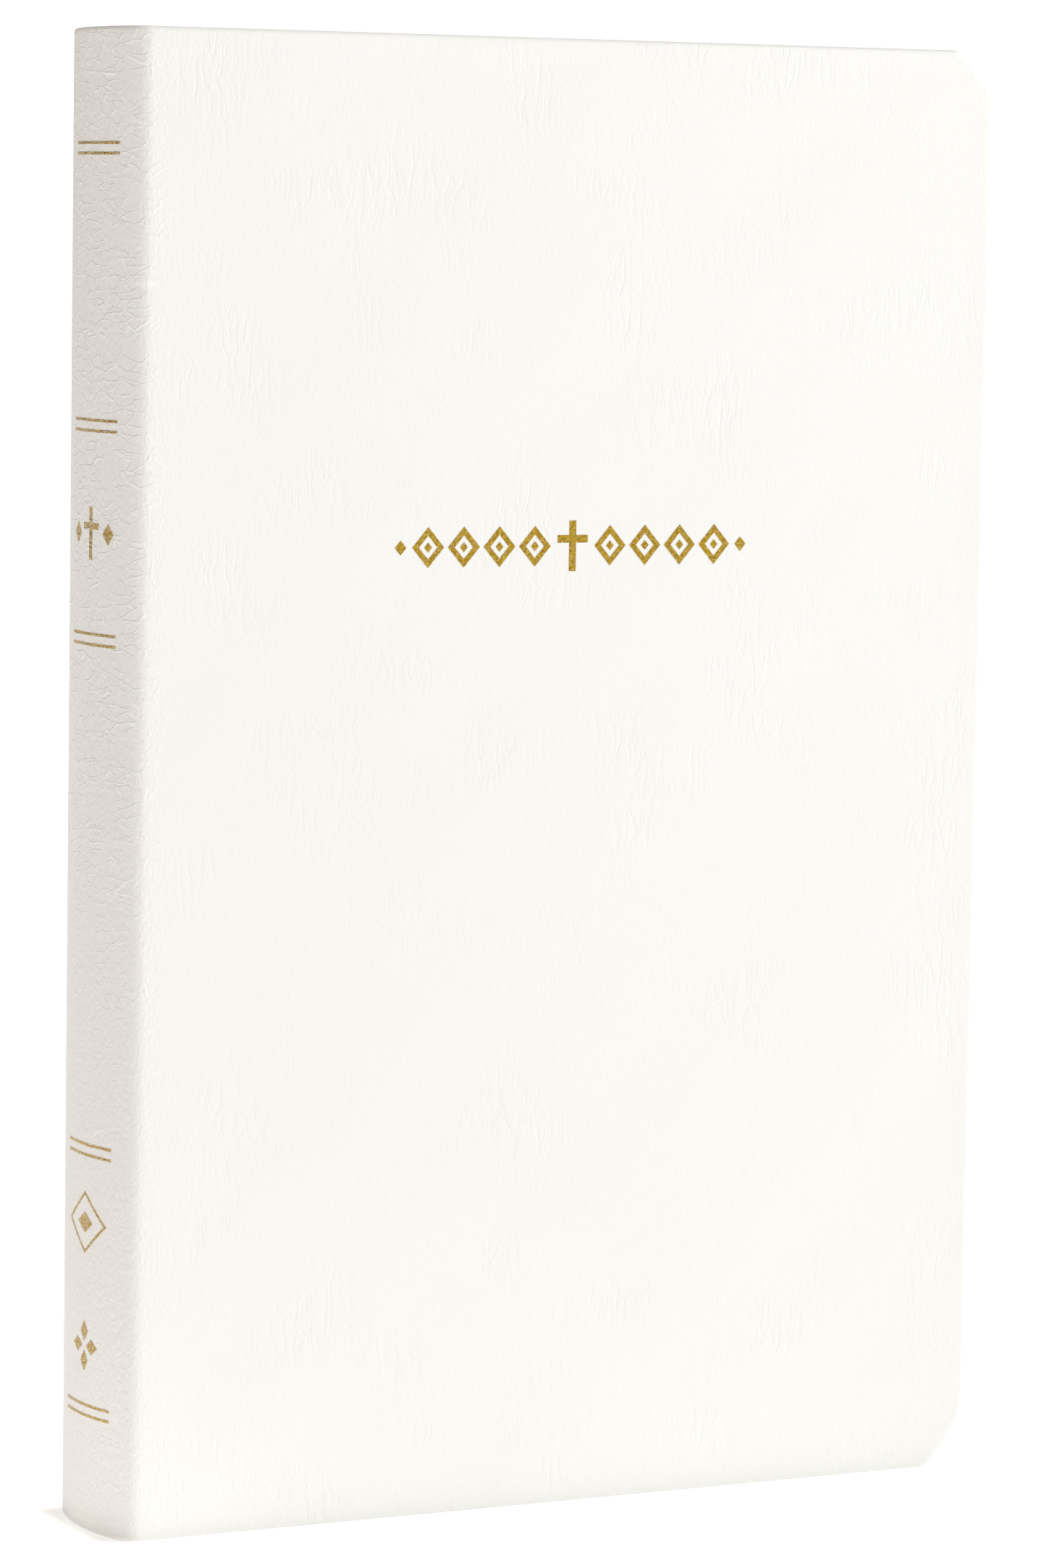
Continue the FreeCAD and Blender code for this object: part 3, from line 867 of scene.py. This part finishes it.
# A cross between two rows of open lozenges, each row ended by a small one.
def frontOrnament():
    look = foilMarks
    fx, fz = look["frontCentre"]
    marks = crossMark(fx, fz, look["frontCross"])
    for side in (-1, 1):
        for k in range(look["frontCount"]):
            cx = fx + side * (look["frontFirst"] + look["frontStep"] * k)
            marks += ringMark(cx, fz, look["frontHalf"], look["frontLine"])
            marks += lozengeMark(cx, fz, look["frontDot"])
        marks += lozengeMark(fx + side * look["frontEnd"], fz, look["frontEndHalf"])
    return marks


# Pairs of rules, a cross between two lozenges, an open lozenge and a mark of four.
def spineOrnaments():
    look = foilMarks
    marks = []
    middle = sum(look["spineY"]) / 2
    for pairZ in look["ruleHeights"]:
        for shift in (-0.5, 0.5):
            low = pairZ + shift * look["rulePitch"] - look["ruleWidth"] / 2
            marks += barMark(*look["spineY"], low, low + look["ruleWidth"])
    marks += crossMark(middle, look["crossHeight"], look["spineCross"])
    markZ, longHalf, shortHalf = look["markHeight"], look["markLong"], look["markShort"]
    for side in (-1, 1):
        marks += lozengeMark(middle + side * look["besideCross"], look["crossHeight"],
                             look["besideHalf"])
        marks += lozengeMark(middle + side * look["markReach"], markZ, (longHalf, shortHalf))
        marks += lozengeMark(middle, markZ + side * look["markReach"], (shortHalf, longHalf))
    marks += lozengeMark(middle, look["badgeHeight"], look["badgeDot"])
    marks += ringMark(middle, look["badgeHeight"], look["badgeHalf"], look["badgeLine"])
    return marks


frontFoil = foilPiece("frontFoilOrnament", frontOrnament(),
                      lambda s: -(s - shoulderX + flatStart), (hingeX, book["width"]))
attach(frontFoil, "front_cover")
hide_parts("front_foil_device")

foilLimits = [foilMarks["farFront"]] + seams
spineMarks = spineOrnaments()
for k in range(4):
    piece = foilPiece("spineFoil%d" % (k + 1), spineMarks, pathFromY, foilLimits[k:k + 2])
    if k == 0:
        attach(piece, "front_pages")
    else:
        creaseBlend(piece)
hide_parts("spine_foil_1")
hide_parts("spine_foil_2")
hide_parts("spine_foil_3")
print("gold foil ready")

pages = {
    "rootShares": (0.5, 0.22, 0.08),    # how far each section beside an opening joins its turn
    "reaches": (17.0, 13.0, 9.0),       # and how far from the fold it bends
    "foldSteps": 6, "foldFlat": 0.0004, "bendPast": 1.0, "bendStep": 0.7,
    "flatSteps": 26, "cornerSteps": 9, "rows": 30,
    "gap": 0.004, "leafGap": 0.01,      # taken off each face
    "unevenWidth": 0.12, "unevenTrim": 0.06, "seed": 7,
    "leafCurl": 20.0,
    "middleStart": 0.4, "middleBend": (30.0, 480.0),
}


# How far in the section of that depth lies at y.
def spineXAt(y, depth):
    away = abs(y)
    if away <= (spineR - depth) * math.sin(joinAngle):
        return spineR - math.sqrt((spineR - depth) ** 2 - away * away)
    small = shoulderR - depth
    return shoulderX - math.sqrt(max(small * small - (away - shoulderY) ** 2, 0))


# A flat stack of leaves: two faces and the cut edges. A folded stack closes in a half round
# at the fold; near it the columns are close together, so that the stack can bend.
def sheetStack(name, x0, x1, y0, y1, folded, outline, materials, bendReach=0.0):
    thick = (y1 - y0) / 2
    near = np.array([x0])
    if folded:
        near = x0 + thick * (1 - np.cos(np.linspace(0, quarter, pages["foldSteps"])))
    after = near[-1]
    bendTo = after + max(bendReach, pages["bendPast"]) + pages["bendPast"]
    bendSteps = max(3, int((bendTo - after) / pages["bendStep"]))
    cornerX = x1 - book["pageCorner"]
    cornerTurn = np.linspace(0, quarter, pages["cornerSteps"])
    cols = np.concatenate([near[:-1], np.linspace(after, bendTo, bendSteps)[:-1],
                           np.linspace(bendTo, cornerX, pages["flatSteps"])[:-1],
                           x1 - book["pageCorner"] * (1 - np.sin(cornerTurn))])
    z = fillHeights(cols, outline, pages["rows"])
    fold = np.clip(1 - (cols - x0) / thick, 0, 1) if folded else np.zeros_like(cols)
    reach = thick * np.sqrt(np.clip(1 - fold * fold, pages["foldFlat"], 1))
    x = widen(cols, pages["rows"]) + toX
    middle = (y0 + y1) / 2
    front = np.stack([x, widen(middle - reach, pages["rows"]), z], -1)
    back = np.stack([x, widen(middle + reach, pages["rows"]), z], -1)
    verts, quads, place, isRim = closeShell(front, back, front, back)
    return makeMesh(name, verts, quads, place, materials, isRim.astype(int))


# Bakes the placement of a section beside an opening into its mesh.
def rootBlend(obj):
    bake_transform(obj)


# The other page group that a section bends with, if an opening is near, and how near it is.
def openingBeside(group, fromFront):
    fromRear = book["perGroup"] - 1 - fromFront
    bending = len(pages["reaches"])
    if group < len(groupNames) - 1 and fromRear < bending:
        return groupNames[group + 1], fromRear
    if group > 0 and fromFront < bending:
        return groupNames[group - 1], fromFront
    return None, 0


pageZ0, pageZ1 = book["square"], book["height"] - book["square"]
foreEdge = book["width"] - book["square"]
pageWidth = foreEdge - spineXAt(blockStart, book["coverTotal"])
y = blockStart
rng = np.random.default_rng(pages["seed"])
for k in range(book["sections"]):
    group, inGroup = divmod(k, book["perGroup"])
    if k == 2 * book["perGroup"]:
        y += book["leaf"]
    x0 = max(spineXAt(y, book["coverTotal"]), spineXAt(y + sheetThick, book["coverTotal"]))
    x1 = x0 + pageWidth - rng.uniform(0.0, pages["unevenWidth"])
    trim = rng.uniform(0.0, pages["unevenTrim"], 2)
    outline = pageOutline(x1, pageZ0 + trim[0], pageZ1 - trim[1])
    other, near = openingBeside(group, inGroup)
    reach = pages["reaches"][near] if other else 0.0
    sheet = sheetStack("section%02d" % (k + 1), x0, x1, y + pages["gap"],
                       y + sheetThick - pages["gap"], True, outline, [pageMat, edgeMat], reach)
    if other:
        rootBlend(sheet)
    else:
        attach(sheet, groupNames[group])
    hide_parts("signature_%02d" % (k + 1))
    y += sheetThick


# A single leaf with the pages' corners and no fold.
def leafSheet(name, x0, x1, y0, nodeName, material):
    gap = pages["leafGap"]
    sheet = sheetStack(name, x0, x1, y0 + gap, y0 + book["leaf"] - gap, False,
                       pageOutline(x1, pageZ0, pageZ1), [material, edgeMat], pages["leafCurl"])
    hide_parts(nodeName)
    return sheet


# A flat leaf beside a cover, with its columns close together over leafCurl from the gutter.
def coverLeaf(name, y0, own):
    sheet = leafSheet(name, leafX, foreEdge, y0, own, endMat)
    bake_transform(sheet)


coverLeaf("frontEndleaf", -blockHalf, "front_flyleaf")
coverLeaf("titleLeaf", -blockHalf + book["leaf"], "title_leaf")
coverLeaf("rearEndleaf", blockHalf - book["leaf"], "back_flyleaf")

# the middle leaf, flat, at the second opening line
middleX = book["coverTotal"] + pages["middleStart"]
middleLeaf = leafSheet("middleLeaf", middleX, book["coverTotal"] + pageWidth, creases[1],
                       "middle_leaf", pageMat)
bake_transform(middleLeaf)
print("pages ready")

pastedown = {
    "gap": 0.01,                    # off both neighbours
    "past": 0.5, "foreZone": 7.0, "jointSteps": 18, "flatSteps": 40, "foreSteps": 12, "rows": 40,
}


# The pasted half of an endpaper: a thin sheet on the inside of the cover, from the gutter to
# the turn-ins, with the cover's own corners.
def pastedownSheet(name, sign, nodeName):
    end = coverEnd - book["square"]
    start = flatStart + book["hingeSetback"] + book["pasteSetback"]
    jointTo = start + book["jointWidth"] + pastedown["past"]
    foreFrom = end - pastedown["foreZone"]
    paths = np.concatenate([np.linspace(start, jointTo, pastedown["jointSteps"])[:-1],
                            np.linspace(jointTo, foreFrom, pastedown["flatSteps"])[:-1],
                            np.linspace(foreFrom, end, pastedown["foreSteps"])])
    rows = pastedown["rows"]
    z = fillHeights(acrossFromPath(paths), coverOutline(book["square"]), rows)
    path = sign * widen(paths, rows)
    outer = np.stack([*section(path, leather["thickness"] - pastedown["gap"]), z], -1)
    inner = np.stack([*section(path, book["coverTotal"] - pastedown["gap"]), z], -1)
    flat = flatPlace(path, z)
    verts, quads, place, isRim = closeShell(outer, inner, flat, flat, flip=sign > 0)
    sheet = makeMesh(name, verts, quads, place, [endMat, edgeMat], isRim.astype(int))
    jointBlend(sheet)
    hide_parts(nodeName)


pastedownSheet("frontPastedownSheet", -1, "front_pastedown")
pastedownSheet("backPastedownSheet", 1, "back_pastedown")
print("endpapers ready")

band = {
    "radius": 0.85, "depth": 3.0, "wrap": 0.55, "relief": 0.05, "halfReach": 8.2,
    "step": 0.09, "around": 16, "endRound": 0.5, "endLeast": 0.05,
    "beyondPages": 0.95,            # the bead's middle, past the pages' head and tail
}


# A sewn bead: a circle carried along an arc that follows the spine, its radius rising and
# falling with each wrap of thread, closed at both ends and rounded at the band's own ends.
def bandPiece(name, y0, y1, zc):
    r = spineR - band["depth"]
    start, end = math.asin(y0 / r), math.asin(y1 / r)
    steps = max(8, int((y1 - y0) / band["step"]))
    turn = np.linspace(start, end, steps + 1)
    along = turn * r
    count, around = len(along), band["around"]
    phi = np.linspace(0, fullTurn, around + 1)[:-1]
    fromEnd = np.minimum(along - along[0], along[-1] - along)
    cap = np.sqrt(np.clip(1 - (1 - np.clip(fromEnd / band["endRound"], 0, 1)) ** 2, 0.0, 1))
    cap = np.maximum(cap, band["endLeast"])
    shape = np.ones(count)
    middle = count // 2
    if y0 <= -band["halfReach"]:
        shape[:middle] = cap[:middle]
    if y1 >= band["halfReach"]:
        shape[middle:] = cap[middle:]
    wraps = 1 + band["relief"] * np.cos(along * fullTurn / band["wrap"])
    radius = (band["radius"] * wraps * shape)[:, None]
    across = radius * np.cos(phi)
    x = spineR - (r - across) * np.cos(turn)[:, None] + toX
    verts = np.stack([x, (r - across) * np.sin(turn)[:, None], zc + radius * np.sin(phi)], -1)
    place = flatPlace(widen(along, around), np.repeat((phi * band["radius"])[None, :], count, 0))

    # faces round the bead, then both ends closed in pairs of faces round a middle point
    index = np.arange(count * around).reshape(count, around)
    beside = np.roll(index, -1, 1)
    sides = np.stack([index[:-1], index[1:], beside[1:], beside[:-1]], -1).reshape(-1, 4)
    centres = np.array([verts[0].mean(0), verts[-1].mean(0)])
    first, last = (np.full(around // 2, count * around + i) for i in (0, 1))
    skip = np.roll(index, -2, 1)[:, 0::2]
    startCap = np.stack([index[0, 0::2], first, skip[0], index[0, 1::2]], 1)
    endCap = np.stack([index[-1, 0::2], index[-1, 1::2], skip[-1], last], 1)
    quads = np.vstack([sides, startCap, endCap])[:, ::-1]
    allVerts = np.vstack([verts.reshape(-1, 3), centres])
    allPlaces = np.vstack([place.reshape(-1, 3), place[0, :1], place[-1, :1]])
    piece = makeMesh(name, allVerts, quads, allPlaces, [threadMat], sharp=60)
    creaseBlend(piece)
    return piece


bandLimits = [-band["halfReach"], seams[1], seams[2], band["halfReach"]]
bandHeights = {"head": pageZ1 + band["beyondPages"], "tail": pageZ0 - band["beyondPages"]}
for end, zc in bandHeights.items():
    for k in range(3):
        name = "%sBand%d" % (end, k + 1)
        bandPiece(name, bandLimits[k], bandLimits[k + 1], zc)
    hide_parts(end + "_band_1")
    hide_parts(end + "_band_2", end + "_band_3")
    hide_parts(end + "_band_4")
print("bands ready")

# hidden pieces keep their shape and get their materials
keptLooks = {
    "board": boardMat, "infill_sheet": infillMat, "spine_card": linerMat, "spine_mull": clothMat,
}
for name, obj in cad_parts.items():
    for part, material in keptLooks.items():
        if part in name:
            obj.data.materials.clear()
            obj.data.materials.append(material)

studio = {
    "floorSize": 6.0, "floorColor": (0.8, 0.8, 0.8), "floorRoughness": 0.9,
    # light that the floor gives: by the spine's foot, elsewhere, far away, close to the book
    "footGlow": (1.12, 1.11, 1.10), "floorGlow": (0.73, 0.73, 0.73),
    "farGlow": (1.05, 1.05, 1.05), "contactGlow": (0.3, 0.3, 0.3),
    "footPlace": (-0.105, -0.005, 0.0), "footReach": (0.015, 0.08), "farReach": (0.5, 1.4),
    "contactReach": (-0.002, 0.005),
    "surround": (0.272, 0.235, 0.206), "backdrop": 1.15,
    "lights": [
        {"name": "keyLight", "place": (1.7, -0.85, 0.9), "aim": (0, 0, 0.12), "size": 0.8,
         "power": 26.0, "color": (0.85, 0.95, 1.0)},
        {"name": "topLight", "place": (0.0, -0.1, 1.7), "aim": (0, 0, 0.1), "size": 1.4,
         "power": 8.0, "color": (1, 1, 1)},
    ],
}


# The floor's own light: more of it in a soft round patch by the spine's foot, and less close
# to the book, by the distance to the rectangle that it stands on.
def floorGlow(tree):
    place = placeSocket(tree, "object")
    away = calculateVector(tree, "DISTANCE", place, studio["footPlace"]).outputs["Value"]
    patch = ranged(tree, away, studio["footReach"], kind="SMOOTHSTEP")
    glow = colorMix(tree, patch, studio["footGlow"], studio["floorGlow"])
    glow = colorMix(tree, ranged(tree, away, studio["farReach"]), glow, studio["farGlow"])
    side = calculateVector(tree, "ABSOLUTE", place).outputs[0]
    past = calculateVector(tree, "SUBTRACT", side, (book["width"] / 2 * mm, half * mm, 0))
    outside = calculateVector(tree, "MAXIMUM", past.outputs[0], (0, 0, 0))
    gap = calculateVector(tree, "LENGTH", outside.outputs[0]).outputs["Value"]
    clear = ranged(tree, gap, studio["contactReach"], kind="SMOOTHSTEP")
    return colorMix(tree, clear, studio["contactGlow"], glow)


# A pale square that also gives light.
def makeFloor():
    size = studio["floorSize"]
    corners = [(-size, -size, 0), (size, -size, 0), (size, size, 0), (-size, size, 0)]
    mesh = bpy.data.meshes.new("paleFloor")
    mesh.from_pydata(corners, [], [(0, 1, 2, 3)])
    material, tree, shader = newMaterial("paleFloor", studio["floorColor"],
                                         studio["floorRoughness"])
    shader.inputs["Emission Strength"].default_value = 1.0
    tree.links.new(floorGlow(tree), shader.inputs["Emission Color"])
    mesh.materials.append(material)
    addObject("paleFloor", mesh)


# Soft surroundings that light the book, with plain white behind it.
def makeWorld():
    world = bpy.data.worlds.new("studioWhite")
    bpy.context.scene.world = world
    world.use_nodes = True
    tree = world.node_tree
    light = tree.nodes["Background"]
    light.inputs[0].default_value = (*studio["surround"], 1)
    light.inputs[1].default_value = 1.0
    seen = node(tree, "Background", Color=(1, 1, 1, 1), Strength=studio["backdrop"])
    toCamera = node(tree, "LightPath").outputs["Is Camera Ray"]
    mix = node(tree, "MixShader", [(toCamera, 0), (light.outputs[0], 1), (seen.outputs[0], 2)])
    tree.links.new(mix.outputs[0], tree.nodes["World Output"].inputs[0])


# The turn that points an object's -Z from place to aim.
def aimed(place, aim):
    return (Vector(aim) - Vector(place)).to_track_quat("-Z", "Y")


def makeLight(spec):
    data = bpy.data.lights.new(spec["name"], "AREA")
    data.shape = "SQUARE"
    data.size = spec["size"]
    data.energy = spec["power"]
    data.color = spec["color"]
    obj = addObject(spec["name"], data)
    obj.location = spec["place"]
    obj.rotation_euler = aimed(spec["place"], spec["aim"]).to_euler()


view = {
    "place": (-0.373878, -0.744534, 0.18545), "aim": (-0.006324, -0.0115, 0.104561),
    "roll": 0.9066, "lens": 132.96, "sensor": 36.0, "nearest": 0.01,
}


def makeCamera():
    data = bpy.data.cameras.new("studioCamera")
    data.sensor_fit = "VERTICAL"
    data.sensor_height = view["sensor"]
    data.lens = view["lens"]
    data.clip_start = view["nearest"]
    obj = addObject("studioCamera", data)
    obj.location = view["place"]
    turn = aimed(view["place"], view["aim"]).to_matrix()
    spin = turn @ Matrix.Rotation(math.radians(view["roll"]), 3, "Z")
    obj.rotation_euler = spin.to_euler()
    bpy.context.scene.camera = obj


makeFloor()
makeWorld()
for spec in studio["lights"]:
    makeLight(spec)
makeCamera()
bpy.context.scene.view_settings.view_transform = "Standard"
print("studio ready")
